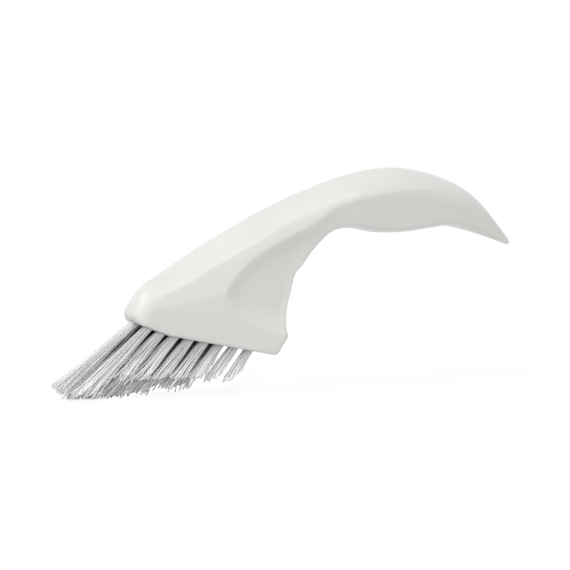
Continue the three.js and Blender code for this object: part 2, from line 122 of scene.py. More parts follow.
CREASE = [
    (0.232, 0.060), (0.233, 0.129), (0.236, 0.218), (0.254, 0.292), (0.293, 0.401),
    (0.337, 0.484), (0.389, 0.560), (0.448, 0.643), (0.522, 0.760), (0.581, 0.812),
    (0.652, 0.849), (0.730, 0.863), (0.800, 0.843), (0.862, 0.776), (0.918, 0.677),
    (0.967, 0.546), (0.999, 0.442),
]
CREASE_STEPS = 6
# Depth of the crown below the top line, at so many millimetres along the body
CROWN_DEPTHS = [
    (0, 3.6), (10.8, 5.9), (17.7, 7.35), (26, 8.1), (35, 8.55), (46, 8.4), (57, 7.1), (66, 6.3),
]
# On the head the crown is a roof with straight sides that meet the flanks in a ridge. Near the
# nose the roof has a flatter top, which ends at these shares of the depth and the half width.
KNEE_DEPTH = 0.5
KNEE_WIDTH = 0.76
FLAT_TOP_END = 28.0
ROOF_ROUNDING = 0.06  # share of the depth over which the roof's apex is rounded
ROOF_FALL = 4.0  # how fast the roof's width falls away above its apex
GRIP_CROWN_POWER = 2.0  # the grip's crown is rounded
GRIP_CROWN_DEPTH = 10.4
GRIP_CROWN_START = 50.0
GRIP_CROWN_BLEND = 35.0
CROWN_SHARE = 0.5  # on short ribs the crown is this share of the rib deep, and CROWN_SPARE more
CROWN_SPARE = 0.3
RIDGE_ROUNDING = 0.08  # share of the half width over which the ridge is rounded
NOSE_FLARE = 0.31  # how fast the sides widen downwards, below the ridge
SIDE_FLARE = 0.26
FLARE_END = 36.0  # from here on the flare is SIDE_FLARE
FLARE_REACH = 66.0  # the flare fades out to this station above the crease
FLARE_LENGTH = 22.0  # over this length
FLARE_BLEND = 5.0  # across the crease
SCOOP_DEPTH = 3.2
SCOOP_SLOPE = 0.8
FLANK_SLOPE = 0.3
FLANK_DEPTH = 20.0
FLANK_LIMIT = 0.5
FLANK_START_OFFSET = 59.0
FLANK_BLEND_LENGTH = 26.0
LEDGE_START = 29.0
LEDGE_FILLET = 4.5  # height of the fillet above the ledge at its front end
REAR_LEDGE_FILLET = 10.0
UNDER_ROUND = 2.2  # of the underside, and on short ribs UNDER_SHARE of the rib
UNDER_SHARE = 0.35
HEAD_CREASE_RADIUS = 0.6
HANDLE_CREASE_RADIUS = 3.0
CREASE_BLEND_START = 58.0
CREASE_BLEND = 45.0
LEAST_HALF_WIDTH = 0.2
LEAST_STEEPNESS = 1e-3
EDGE_SOFTENING = 0.5
TAIL_START = 140.0  # behind it the tail narrows to a sharp tip, which isn't softened
TAIL_BLEND = 6.0
PITCH = 0.41  # of the grid that the body is meshed from
GRID_CORNER = (-3.0, -13.2, 10.6)  # from the start of the plate
GRID_SIZE = (149.6, 26.4, 65.6)
BAND = 4  # grid steps on each side of the surface that the mesher gets
FIELD_LIMIT = 4.0  # distances are kept up to here
INSIDE = 100.0  # deeper than any point of the body

# ---- Driving sizes of the tufts --------------------------------------------------------------
OUTER_TUFTS = 8
MIDDLE_TUFTS = 6
TUFT_PITCH = 5.5
FIRST_OUTER_STATION = 5.2
NOSE_TUFT_STATION = 1.2
FIRST_MIDDLE_STATION = 6.3
MIDDLE_PITCH = 5.3
FIRST_ROW_OFFSET = 4.3
LAST_ROW_OFFSET = 5.9
TUFT_LEAN = math.radians(4)
FIRST_OUTER_SLANT = math.radians(47.6)
LAST_OUTER_SLANT = math.radians(37.3)
NOSE_SLANT = math.radians(53)
FIRST_MIDDLE_SLANT = math.radians(49)
LAST_MIDDLE_SLANT = math.radians(43)
NOSE_TIP_HEIGHT = 3.5
FIRST_OUTER_TIP_HEIGHT = 2.0
SECOND_OUTER_TIP_HEIGHT = 7.0
LAST_OUTER_TIP_HEIGHT = 5.7
FLAT_TRIM_END = 19.0  # behind this station the middle row's tips rise from the work surface
TRIM_RISE = 0.4
HIGHEST_TRIM = 2.7
REAR_TRIM_TUFTS = 2  # the last tufts of a side row are trimmed on a slope that rises to the rear
REAR_TRIM_SLOPE = 0.45
NOSE_TRIM_SLOPE = -0.9
HOLE_RADIUS = 1.8
HOLE_DEPTH = 6.5
TUFT_CLEARANCE = 0.15
BORE_RADIUS = 1.7  # of the holes in the skin, close around the filaments
SEAT_GAP = 0.3
ANCHOR_THICKNESS = 0.4
ANCHOR_HEIGHT = 1.8
ANCHOR_BITE = 0.5
ANCHOR_FOOT = 1.0
ANCHOR_TURN = math.radians(45)
NOSE_ANCHOR_TURN = math.radians(90)
BELOW_HOLE = 1.0  # how far past a hole's bottom, its mouth and its sides the grid is drilled
ABOVE_HOLE = 4.0
BESIDE_HOLE = 1.5

FILAMENT_RADIUS = 0.225
NOSE_FILAMENT_RADIUS = 0.15
FILAMENT_SPACING = 2.05  # filament radii from one filament to the next in the hole
FILAMENT_SIDES = 6
PLACES_TRIED = 10  # rows, and columns to each side, of places that a filament may have in a hole
PLACE_SPREAD = 0.03
FILAMENT_GAP = 0.05  # to the anchor, the work surface and the reach of the solids
SHORTEST_SHARE = 0.02  # of a filament's last stretch that is left where it is pulled back
HELD_DEPTHS = (4.6, 3.3)  # where the filaments pass the anchor, below the plate
FREE_DEPTH = 1.2  # from here up they stand in their own places
FOLD_DROP = 0.4  # from the lower held depth to where the fold starts
FOLD_DEPTH = 0.5  # of the innermost fold
FOLD_POINTS = 7
LEG_SHARES = (0.04, 0.12, 0.25, 0.4, 0.55, 0.7, 0.82, 0.92, 1.0)
SPREAD = 0.056  # filaments move apart by this share of their length, and more where worn
WEAR_SPREAD = 0.2
LOCKS = 4  # each tuft parts towards its tips into so many locks
LOCK_PLACE = 0.6  # share of the hole's room from the middle to a lock
LOCK_PULL = 0.35
LOCK_HASTE = 1.1  # the filaments of a lock have met a little before their tips
WANDER = 0.34  # how far a tip strays
WANDER_POWER = 2.2
BOWING = 0.12  # how far the middle of a filament bends away
FRAY = 0.55  # how far the last part of a worn filament bends away
FRAY_POWER = 8
RAGGED = 0.6  # spread of the lengths
RAGGED_MIDDLE = -0.5  # most filaments are a little shorter than the trim, and few are longer
RAGGED_TOP = 0.4
NO_WEAR = 1.0
MIDDLE_WEAR = 2.4
FRONT_WEAR = 2.0  # of the first tufts of each side row
FRONT_TUFTS = 3

PLASTIC_SHADE = (0.79, 0.79, 0.765)
PLASTIC_LIGHT = (0.815, 0.815, 0.79)
NYLON_SHADE = (0.68, 0.695, 0.70)
NYLON_LIGHT = (0.93, 0.94, 0.945)
# The tips' colour is partly the frayed ends' own lighter colour and partly painted light, for light
# that reaches them from below
NYLON_TIP = (0.95, 0.96, 0.95)
NYLON_ROOT = (0.70, 0.71, 0.715)
NOSE_PAINTED_LIGHT = (0.90, 0.91, 0.915)  # painted light: the nose tuft's dark tones and root are lifted to this, for the light that falls on it
MIDDLE_ROOT_PAINTED_SHADE = (0.035, 0.036, 0.037)  # painted shade at the roots of the middle row, for the shade between the side rows
WIRE_DARK = (0.42, 0.43, 0.44)
WIRE_LIGHT = (0.6, 0.61, 0.62)

# Where the plate starts on the X axis
ORIGIN_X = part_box("body_moulding")[1][0] / MM - BODY_LENGTH


# ---- Side view and small sums ------------------------------------------------------------------
def mix(a, b, t):
    """From a to b, as t goes from 0 to 1."""
    return a + (b - a) * t


def step(t):
    """Rises smoothly from 0 to 1 while t does."""
    t = np.clip(t, 0, 1)
    return t * t * (3 - 2 * t)


def side_points(shares):
    """Side view points from shares of the body's length and rise."""
    return np.array(shares) * (BODY_LENGTH, BODY_RISE) + (0, PLATE_START_HEIGHT)


def to_plate(x, z):
    """Station and height over the bristle plate of a side view point."""
    down = PLATE_START_HEIGHT - z
    station = x * math.cos(PLATE_TILT) + down * math.sin(PLATE_TILT)
    height = x * math.sin(PLATE_TILT) - down * math.cos(PLATE_TILT)
    return station, height


def from_plate(station, height):
    """The side view point at a station and a height over the bristle plate."""
    x = station * math.cos(PLATE_TILT) + height * math.sin(PLATE_TILT)
    z = PLATE_START_HEIGHT - station * math.sin(PLATE_TILT) + height * math.cos(PLATE_TILT)
    return x, z


def spline(points, steps):
    """Catmull-Rom curve through the points, with so many steps from each to the next."""
    points = np.asarray(points, float)
    padded = np.vstack([points[:1], points, points[-1:]])
    t = np.linspace(0, 1, steps, endpoint=False)[:, None]
    spans = []
    for before, a, b, after in zip(padded, padded[1:], padded[2:], padded[3:]):
        start, end = (b - before) / 2, (after - a) / 2
        cubic = 2 * a - 2 * b + start + end
        square = 3 * b - 3 * a - 2 * start - end
        spans.append(((cubic * t + square) * t + start) * t + a)
    return np.vstack(spans + [points[-1:]])


# ---- Body: fields that are below zero inside it -------------------------------------------------
def fan(x, z, tops, unders):
    """Rib number and depth below the top line of each side view point, and how far it lies
    past the first or the last rib."""
    run = unders - tops
    length = np.hypot(run[:, 0], run[:, 1])
    run = run / length[:, None]
    number = np.empty(x.shape)
    depth = np.empty(x.shape)
    past = np.empty(x.shape)
    for row in range(x.shape[0]):
        dx = x[row][:, None] - tops[:, 0]
        dz = z[row][:, None] - tops[:, 1]
        side = run[:, 0] * dz - run[:, 1] * dx
        along = run[:, 0] * dx + run[:, 1] * dz
        crossed = (side[:, :-1] > 0) != (side[:, 1:] > 0)
        outside = np.maximum(np.maximum(-along, along - length), 0)[:, :-1]
        outside[~crossed] = np.inf
        near = np.argmin(outside, axis=1)
        cell = np.arange(len(near))
        a, b = side[cell, near], side[cell, near + 1]
        share = np.clip(a / (a - b + 1e-12), 0, 1)
        found = crossed[cell, near]
        first = np.abs(side[:, 0]) < np.abs(side[:, -1])
        number[row] = np.where(found, near + share, np.where(first, 0, len(tops) - 1))
        inside = mix(along[cell, near], along[cell, near + 1], share)
        depth[row] = np.where(found, inside, np.where(first, along[:, 0], along[:, -1]))
        beyond = np.where(first, np.abs(side[:, 0]), np.abs(side[:, -1]))
        past[row] = np.where(found, -INSIDE, beyond)
    return number, depth, past


def past_crease(x, z):
    """Distance from the crease, positive on the hollowed side."""
    line = spline(side_points(CREASE), CREASE_STEPS)
    nearest = np.full(x.shape, np.inf)
    signed = np.zeros(x.shape)
    for start, end in zip(line, line[1:]):
        run_x, run_z = end - start
        dx, dz = x - start[0], z - start[1]
        share = np.clip((dx * run_x + dz * run_z) / (run_x * run_x + run_z * run_z), 0, 1)
        away = np.hypot(dx - share * run_x, dz - share * run_z)
        side = np.where(run_x * dz - run_z * dx > 0, -1, 1)
        signed = np.where(away < nearest, side * away, signed)
        nearest = np.minimum(nearest, away)
    return signed


def leaned_station(station, height):
    """The station at the plate that the leaning front of the head has at this height."""
    return station - NOSE_LEAN * np.maximum(0, height - NOSE_LEAN_START)


def ledge_height(station):
    """Height of the ledge over the plate."""
    before_rear = np.clip(HEAD_LENGTH - station, 0, HEAD_LENGTH - LEDGE_START)
    return LEDGE_HEIGHT + LEDGE_RISE * before_rear ** 2


def head_half_width(station):
    """Half of the block's width, which is round at the nose."""
    round_end = NOSE_ROUND - NOSE_REACH
    sides = mix(NOSE_HALF_WIDTH, REAR_HALF_WIDTH, (station - round_end) / (HEAD_LENGTH - round_end))
    ahead = np.clip((round_end - station) / NOSE_ROUND, 0, 1)
    return sides * (1 - ahead ** NOSE_POWER) ** (1 / NOSE_POWER)


def distance(norm):
    """Turns a norm that is 1 on a surface into distance from it, close to the surface."""
    steepness = np.sqrt(sum(slope * slope for slope in np.gradient(norm, PITCH)))
    return (norm - 1) / np.maximum(steepness, LEAST_STEEPNESS)


def smooth_max(a, b, reach):
    """The greater of two fields, with the edge between them rounded over this reach."""
    share = np.clip(0.5 + 0.5 * (a - b) / reach, 0, 1)
    return mix(b, a, share) + reach * share * (1 - share)


def smooth_min(a, b, reach):
    return -smooth_max(-a, -b, reach)


def roof_width(share, knee_width):
    """Share of the half width that the roof has at a share of its depth."""
    inside = np.maximum(share, 0)
    rounded = np.sqrt(inside * (inside + 2 * ROOF_ROUNDING)) - ROOF_ROUNDING * inside
    width = np.minimum(rounded * knee_width / KNEE_DEPTH,
                       knee_width + (inside - KNEE_DEPTH) * (1 - knee_width) / (1 - KNEE_DEPTH))
    return np.where(share < 0, ROOF_FALL * share, smooth_min(width, 1, RIDGE_ROUNDING))


def hollow_depth(x, signed, width):
    """How far the sides go in on the hollowed side of the crease."""
    on_handle = step((x - FLANK_START_OFFSET) / FLANK_BLEND_LENGTH)
    slope = mix(SCOOP_SLOPE, FLANK_SLOPE, on_handle)
    limit = mix(SCOOP_DEPTH, FLANK_DEPTH, on_handle)
    rounded = step((x - CREASE_BLEND_START) / CREASE_BLEND)
    radius = mix(HEAD_CREASE_RADIUS, HANDLE_CREASE_RADIUS, rounded)
    bend = signed + np.sqrt(signed ** 2 + radius ** 2) - radius * np.exp(-np.abs(signed))
    hollow = np.maximum(0.5 * bend, 0)
    return np.minimum(limit * (1 - np.exp(-hollow * slope / limit)), FLANK_LIMIT * width)


def flare_at(station, signed):
    """How fast the sides widen downwards, below the ridge."""
    flare = mix(NOSE_FLARE, SIDE_FLARE, np.clip(station / FLARE_END, 0, 1))
    above_crease = np.clip((FLARE_REACH - station) / FLARE_LENGTH, 0, 1)
    in_hollow = np.clip((HEAD_LENGTH - station) / FLARE_LENGTH, 0, 1)
    return flare * mix(above_crease, in_hollow, step(signed / FLARE_BLEND))


def meet_block(half, station, height):
    """The cape's half width, kept within the block's and widened to it above the ledge."""
    wall = head_half_width(np.maximum(leaned_station(station, height), FOREMOST_STATION))
    half = np.where(station < HEAD_LENGTH, np.minimum(half, wall), half)
    behind = np.clip((station - LEDGE_START) / (HEAD_LENGTH - LEDGE_START), 0, 1)
    fillet = mix(LEDGE_FILLET, REAR_LEDGE_FILLET, behind)
    above_ledge = np.clip((height - ledge_height(station)) / fillet, 0, 1)
    room = np.maximum(head_half_width(station) - half, 0)
    widened = room * (1 - above_ledge) ** 2
    return half + np.where(station > LEDGE_START, widened, 0)


def cape_field(x, y, z):
    """Distance from the cape, neck and handle."""
    feet = [from_plate(share * HEAD_LENGTH, FOOT_HEIGHT) for share in HEAD_FEET]
    tops = spline(side_points(HEAD_TOPS + HANDLE_TOPS), RIB_STEPS)
    unders = spline(np.vstack([feet, side_points(HANDLE_UNDERS)]), RIB_STEPS)
    widths = spline(np.array(WIDTHS)[:, None] * GRIP_HALF_WIDTH, RIB_STEPS)[:, 0]
    number, depth, past = fan(x, z, tops, unders)
    rib = np.arange(len(tops))
    width = np.interp(number, rib, widths)
    length = np.interp(number, rib, np.hypot(*(unders - tops).T))
    top_x = np.interp(number, rib, tops[:, 0])
    deepest = CROWN_SHARE * length + CROWN_SPARE
    crown = np.minimum(np.interp(top_x, *zip(*CROWN_DEPTHS)), deepest)

    station, height = to_plate(x, z)
    signed = past_crease(x, z)
    half = width + flare_at(station, signed) * np.maximum(0, depth - crown)
    half = meet_block(half - hollow_depth(x, signed, width), station, height)

    # How much of the half width the rounded top and underside take
    knee_width = mix(KNEE_WIDTH, KNEE_DEPTH, step(top_x / FLAT_TOP_END))
    roof = 1 - roof_width(depth / crown, knee_width)
    grip_crown = np.minimum(GRIP_CROWN_DEPTH, deepest)
    grip = np.clip(1 - depth / grip_crown, 0, None) ** GRIP_CROWN_POWER
    to_grip = step((top_x - GRIP_CROWN_START) / GRIP_CROWN_BLEND)
    above = mix(roof, grip, to_grip)
    rounding = np.minimum(UNDER_ROUND, UNDER_SHARE * length)
    below = np.clip(1 - (length - depth) / rounding, 0, None) ** 2
    power = mix(1.0, GRIP_CROWN_POWER, to_grip)[:, None, :]
    side = (np.abs(y) / np.maximum(half, LEAST_HALF_WIDTH)[:, None, :]) ** power
    return np.maximum(distance(side + (above + below)[:, None, :]), past[:, None, :])


def bow_field(station, height):
    """Distance below the plate and its risen front, with the lip rounded off."""
    height = height - PLATE_RISE * np.maximum(0, PLATE_RISE_END - station)
    height = height - CURL * np.maximum(0, CURL_END - station) ** 2
    ahead = np.clip((BOW_LENGTH - station) / (BOW_LENGTH + NOSE_REACH), 0, None)
    down = np.clip((BOW_HEIGHT - height) / BOW_HEIGHT, 0, None)
    return distance((ahead ** BOW_POWER + down ** BOW_POWER) ** (1 / BOW_POWER))


def block_field(x, y, z):
    """Distance from the head's block."""
    station, height = to_plate(x, z)
    round_end = NOSE_ROUND - NOSE_REACH
    share = np.clip((station - round_end) / (HEAD_LENGTH - round_end), 0, WIDEST_SHARE)
    sides = mix(NOSE_HALF_WIDTH, REAR_HALF_WIDTH, share)[:, None, :]
    leaned = leaned_station(station, height)
    ahead = np.clip((round_end - leaned) / NOSE_ROUND, 0, None)[:, None, :]
    wall = distance((ahead ** NOSE_POWER + (np.abs(y) / sides) ** NOSE_POWER) ** (1 / NOSE_POWER))
    under = bow_field(station, height)
    rising = np.clip((station + NOSE_REACH) / NOSE_TOP_LENGTH, 0, 1)
    front_top = mix(NOSE_TOP_HEIGHT, WALL_HEIGHT, rising)
    over = height - np.where(station > LEDGE_START, ledge_height(station), front_top)
    behind = station - HEAD_LENGTH - REAR_STEP
    rear = behind * math.cos(REAR_SLANT) - height * math.sin(REAR_SLANT)
    around = smooth_max(wall, rear[:, None, :], REAR_CORNER_ROUNDING)
    rounding = mix(LIP_ROUNDING, EDGE_ROUNDING, step(station / LIP_LENGTH))[:, None, :]
    lower = smooth_max(around, under[:, None, :], rounding)
    return smooth_max(lower, over[:, None, :], EDGE_ROUNDING)


def blurred(field, sigma):
    """The field softened by a short Gaussian along each axis, which rounds its edges."""
    reach = int(math.ceil(3 * sigma / PITCH))
    offsets = np.arange(-reach, reach + 1)
    weights = np.exp(-0.5 * (offsets * PITCH / sigma) ** 2)
    weights /= weights.sum()
    for axis in range(3):
        moved = [weight * np.roll(field, offset, axis) for weight, offset in zip(weights, offsets)]
        field = sum(moved)
    return field


def surface(field, corner):
    """Points in millimetres and quads of the surface where the field is zero."""
    band = BAND * PITCH
    grid = openvdb.FloatGrid(background=band)
    grid.copyFromArray(np.clip(field, -band, band).astype(np.float32))
    points, quads = grid.convertToQuads(isovalue=0.0)
    return points * PITCH + corner, quads


def mesh_object(name, points, faces):
    mesh = bpy.data.meshes.new(name)
    mesh.from_pydata((points * MM).tolist(), [], faces)
    mesh.validate()
    mesh.shade_smooth()
    piece = bpy.data.objects.new(name, mesh)
    bpy.context.scene.collection.objects.link(piece)
    return piece


def unit(vector):
    vector = np.asarray(vector, float)
    return vector / np.linalg.norm(vector, axis=-1, keepdims=True)


# ---- Where the tufts stand ---------------------------------------------------------------------
def tuft(name, station, y, slant, lean, tip, trim_slope=0.0, wear=NO_WEAR, turn=ANCHOR_TURN,
         radius=FILAMENT_RADIUS):
    """What a tuft is made from: its place on the plate, its directions, trim, wear and strands."""
    return {
        "name": name, "station": station, "y": y, "slant": slant, "lean": lean, "tip": tip,
        "trim_slope": trim_slope, "wear": wear, "turn": turn, "radius": radius,
        "room": HOLE_RADIUS - TUFT_CLEARANCE - radius,
    }


def tuft_layout():
    """The nose tuft, the middle row and the two side rows, from the nose to the rear."""
    tufts = [tuft("nose", NOSE_TUFT_STATION, 0, NOSE_SLANT, 0, NOSE_TIP_HEIGHT, NOSE_TRIM_SLOPE,
                  turn=NOSE_ANCHOR_TURN, radius=NOSE_FILAMENT_RADIUS)]
    for i in range(MIDDLE_TUFTS):
        station = FIRST_MIDDLE_STATION + i * MIDDLE_PITCH
        slant = mix(FIRST_MIDDLE_SLANT, LAST_MIDDLE_SLANT, i / (MIDDLE_TUFTS - 1))
        tip = min(TRIM_RISE * max(0, station - FLAT_TRIM_END), HIGHEST_TRIM)
        tufts.append(tuft(f"middle_{i + 1}", station, 0, slant, 0, tip, wear=MIDDLE_WEAR))
    for i in range(OUTER_TUFTS):
        along = i / (OUTER_TUFTS - 1)
        behind_second = (i - 1) / (OUTER_TUFTS - 2)
        row_tip = mix(SECOND_OUTER_TIP_HEIGHT, LAST_OUTER_TIP_HEIGHT, behind_second)
        tip = FIRST_OUTER_TIP_HEIGHT if i == 0 else row_tip
        trim_slope = REAR_TRIM_SLOPE if i >= OUTER_TUFTS - REAR_TRIM_TUFTS else 0.0
        station = FIRST_OUTER_STATION + i * TUFT_PITCH
        offset = mix(FIRST_ROW_OFFSET, LAST_ROW_OFFSET, along)
        slant = mix(FIRST_OUTER_SLANT, LAST_OUTER_SLANT, along)
        wear = FRONT_WEAR if i < FRONT_TUFTS else NO_WEAR
        for side, sign in (("left", -1), ("right", 1)):
            tufts.append(tuft(f"{side}_{i + 1}", station, sign * offset, slant, sign * TUFT_LEAN,
                              tip, trim_slope, wear))
    return tufts


def tuft_frame(one):
    """Root on the plate, and the directions fore, across and down the tuft as rows."""
    x, z = from_plate(one["station"], 0)
    root = np.array((x, one["y"], z))
    down = unit((-math.tan(one["slant"]), math.tan(one["lean"]), -1))
    fore = unit(np.cross((0, 1, 0), down))
    return root, np.array((fore, np.cross(down, fore), down))


# ---- Body: the holes and the mesh --------------------------------------------------------------
def hole_field(one, points):
    """Distance of each of the points from a tuft's hole with its anchor's slot."""
    root, axes = tuft_frame(one)
    fore, across, down = np.moveaxis((points - root) @ axes.T, -1, 0)
    bore = np.maximum(np.hypot(fore, across) - BORE_RADIUS, -down - HOLE_DEPTH)
    turn = one["turn"]
    length = math.cos(turn) * fore + math.sin(turn) * across
    thick = math.cos(turn) * across - math.sin(turn) * fore
    middle = -(HOLE_DEPTH - SEAT_GAP - ANCHOR_FOOT - ANCHOR_HEIGHT / 2)
    slot = np.maximum(np.abs(length) - HOLE_RADIUS - ANCHOR_BITE - SEAT_GAP,
                      np.abs(thick) - ANCHOR_THICKNESS / 2 - SEAT_GAP)
    slot = np.maximum(slot, np.abs(down - middle) - ANCHOR_HEIGHT / 2 - SEAT_GAP)
    return np.minimum(bore, slot)


def drill(field, grid, one):
    """Cuts a tuft's hole from the part of the grid around it."""
    root, axes = tuft_frame(one)
    ends = np.array((root - axes[2] * (HOLE_DEPTH + BELOW_HOLE), root + axes[2] * ABOVE_HOLE))
    reach = HOLE_RADIUS + ANCHOR_BITE + BESIDE_HOLE
    low, high = ends.min(0) - reach, ends.max(0) + reach
    near = tuple(slice(*np.searchsorted(line, span)) for line, span in zip(grid, zip(low, high)))
    lines = [line[part] for line, part in zip(grid, near)]
    points = np.stack(np.meshgrid(*lines, indexing="ij"), -1)
    field[near] = np.maximum(field[near], -hole_field(one, points))


def make_body(tufts):
    """The skin of the moulding, meshed on one grid with all the holes drilled."""
    counts = np.round(np.array(GRID_SIZE) / PITCH).astype(int) + 1
    grid = [low + PITCH * np.arange(count) for low, count in zip(GRID_CORNER, counts)]
    side_x, side_z = np.meshgrid(grid[0], grid[2], indexing="ij")
    across = grid[1][None, :, None]
    cape = np.clip(cape_field(side_x, across, side_z), -FIELD_LIMIT, FIELD_LIMIT)
    block = np.clip(block_field(side_x, across, side_z), -FIELD_LIMIT, FIELD_LIMIT)
    joined = np.minimum(cape, block)
    softening = step((TAIL_START - grid[0]) / TAIL_BLEND)[:, None, None]
    field = mix(joined, blurred(joined, EDGE_SOFTENING), softening)
    for one in tufts:
        drill(field, grid, one)
    points, quads = surface(field, np.array(GRID_CORNER))
    points[:, 0] += ORIGIN_X
    return mesh_object("body_skin", points, quads.tolist())


# ---- Tufts: folded filaments that fan out to ragged tips ----------------------------------------
def filament_places(one):
    """Where the folded filaments stand in their hole, on one side of the anchor: distance along
    the anchor and away from it."""
    spacing = FILAMENT_SPACING * one["radius"]
    row_height = spacing * math.sqrt(0.75)
    places = []
    for row in range(PLACES_TRIED):
        away = (row + 0.5) * row_height
        for column in range(-PLACES_TRIED, PLACES_TRIED + 1):
            along = (column + 0.5 * (row % 2)) * spacing
            if math.hypot(along, away) <= one["room"]:
                places.append((along, away))
    return np.array(places)


def spread_of(one):
    """By what share of their length a tuft's filaments move apart."""
    return SPREAD * (1 + WEAR_SPREAD * (one["wear"] - NO_WEAR))


def leg_lengths(one, rng, place):
    """Length of each filament from the plate to its trimmed, ragged tip."""
    root, axes = tuft_frame(one)
    reach = (root[2] - one["tip"]) / -axes[2, 2]
    fanned = place * (1 + spread_of(one) * reach / HOLE_RADIUS)
    ends = root + fanned @ axes[:2] + reach * axes[2]
    middle = root + reach * axes[2]
    trimmed = one["tip"] + one["trim_slope"] * (ends[:, 0] - middle[0])
    fall = -axes[2, 2] + one["trim_slope"] * axes[2, 0]
    ragged = np.minimum(rng.normal(RAGGED_MIDDLE, 1, len(place)), RAGGED_TOP)
    return reach + (ends[:, 2] - trimmed) / fall + RAGGED * one["wear"] * ragged


def leg_points(one, rng, along, away, side):
    """Points of each filament from the anchor to its tip, on one side of the anchor."""
    root, axes = tuft_frame(one)
    count = len(along)
    room = one["room"]
    cos, sin = math.cos(one["turn"]), math.sin(one["turn"])
    turn = np.array(((cos, sin), (-sin, cos)))
    place = np.stack((along, side * away), -1) @ turn
    place = place + rng.normal(0, PLACE_SPREAD, place.shape)
    beside = ANCHOR_THICKNESS / 2 + one["radius"] + FILAMENT_GAP
    held = np.stack((along, side * mix(beside, room, away / room)), -1) @ turn

    angle = rng.uniform(0, 2 * math.pi) + 2 * math.pi * np.arange(LOCKS) / LOCKS
    centres = LOCK_PLACE * room * np.stack((np.cos(angle), np.sin(angle)), -1)
    nearest = np.argmin(np.linalg.norm(place[:, None] - centres, axis=-1), axis=1)
    towards_lock = centres[nearest] - place
    stray = rng.normal(0, WANDER * one["wear"], place.shape)
    bow = rng.normal(0, BOWING * one["wear"], place.shape)
    fray = rng.normal(0, FRAY * (one["wear"] - NO_WEAR), place.shape)
    lengths = leg_lengths(one, rng, place)

    rings = [np.column_stack((held, np.full(count, -depth))) for depth in HELD_DEPTHS]
    rings.append(np.column_stack((place, np.full(count, -FREE_DEPTH))))
    for share in LEG_SHARES:
        down = share * lengths
        spread = 1 + spread_of(one) * down / HOLE_RADIUS
        centre = place * spread[:, None]
        centre = centre + towards_lock * LOCK_PULL * step(share * LOCK_HASTE)
        centre = centre + stray * share ** WANDER_POWER + bow * math.sin(math.pi * share)
        centre = centre + fray * share ** FRAY_POWER
        rings.append(np.column_stack((centre, down)))
    return root + np.stack(rings, 1) @ axes


def keep_in_box(points):
    """Pulls filament ends that would pass the working surface or the reach of the solids back
    along their own length."""
    low_x = cad_box[0][0] / MM - ORIGIN_X + FILAMENT_RADIUS + FILAMENT_GAP
    low_z = FILAMENT_RADIUS + FILAMENT_GAP
    for ring in range(1, points.shape[1]):
        before, here = points[:, ring - 1], points[:, ring]
        share = np.ones(len(here))
        for axis, low in ((0, low_x), (2, low_z)):
            drop = before[:, axis] - here[:, axis]
            kept = (before[:, axis] - low) / np.maximum(drop, 1e-6)
            share = np.where(here[:, axis] < low, np.minimum(share, kept), share)
        points[:, ring] = mix(before, here, np.clip(share, SHORTEST_SHARE, 1)[:, None])
    return points


def tube_mesh(name, paths, radius, normal, tones):
    """Round filaments along the paths, closed at both ends."""
    tangent = unit(np.gradient(paths, axis=1))
    first = unit(normal - tangent * (tangent @ normal)[..., None])
    second = np.cross(tangent, first)
    angles = 2 * math.pi * np.arange(FILAMENT_SIDES) / FILAMENT_SIDES
    cos, sin = np.cos(angles)[:, None], np.sin(angles)[:, None]
    ring = cos * first[:, :, None] + sin * second[:, :, None]
    points = paths[:, :, None] + radius * ring
    count, rings, sides = points.shape[:3]
    index = np.arange(count * rings * sides).reshape(count, rings, sides)
    after = np.roll(index, -1, 2)
    quads = np.stack((index[:, :-1], after[:, :-1], after[:, 1:], index[:, 1:]), -1).reshape(-1, 4)
    caps = index[:, 0, ::-1].tolist() + index[:, -1].tolist()
    flat = points.reshape(-1, 3).copy()
    flat[:, 0] += ORIGIN_X
    piece = mesh_object(name, flat, quads.tolist() + caps)
    for polygon in piece.data.polygons[len(quads):]:
        polygon.use_smooth = False
    along = np.abs(np.linspace(-1, 1, rings))
    for attribute, values in (("tone", np.repeat(tones, rings)), ("along", np.tile(along, count))):
        shade = piece.data.attributes.new(attribute, "FLOAT", "POINT")
        shade.data.foreach_set("value", np.repeat(values, sides).astype(np.float32))
    return piece


def fold_points(one, near, far, away):
    """Points of each filament where it passes under the anchor from one leg to the other."""
    down = tuft_frame(one)[1][2]
    below_start = HOLE_DEPTH - SEAT_GAP - one["radius"] - (HELD_DEPTHS[0] + FOLD_DROP)
    bottom = mix(FOLD_DEPTH, below_start, away / one["room"])
    start = (near + far) / 2 - FOLD_DROP * down
    half = (near - far) / 2
    fold = []
    for angle in np.linspace(0, math.pi, FOLD_POINTS):
        sunk = np.outer(math.sin(angle) * bottom, down)
        fold.append(start + math.cos(angle) * half - sunk)
    return np.stack(fold, 1)


def make_tuft(one, seed):
    """All the folded filaments of one tuft, as one piece."""
    rng = np.random.default_rng(seed)
    along, away = filament_places(one).T
    near = keep_in_box(leg_points(one, rng, along, away, 1))
    far = keep_in_box(leg_points(one, rng, along, away, -1))
    fold = fold_points(one, near[:, 0], far[:, 0], away)
    paths = np.concatenate((near[:, ::-1], fold, far), 1)
    axes = tuft_frame(one)[1]
    normal = math.cos(one["turn"]) * axes[0] + math.sin(one["turn"]) * axes[1]
    tones = rng.uniform(0, 1, len(paths))
    return tube_mesh(f"bristles_{one['name']}", paths, one["radius"], normal, tones)


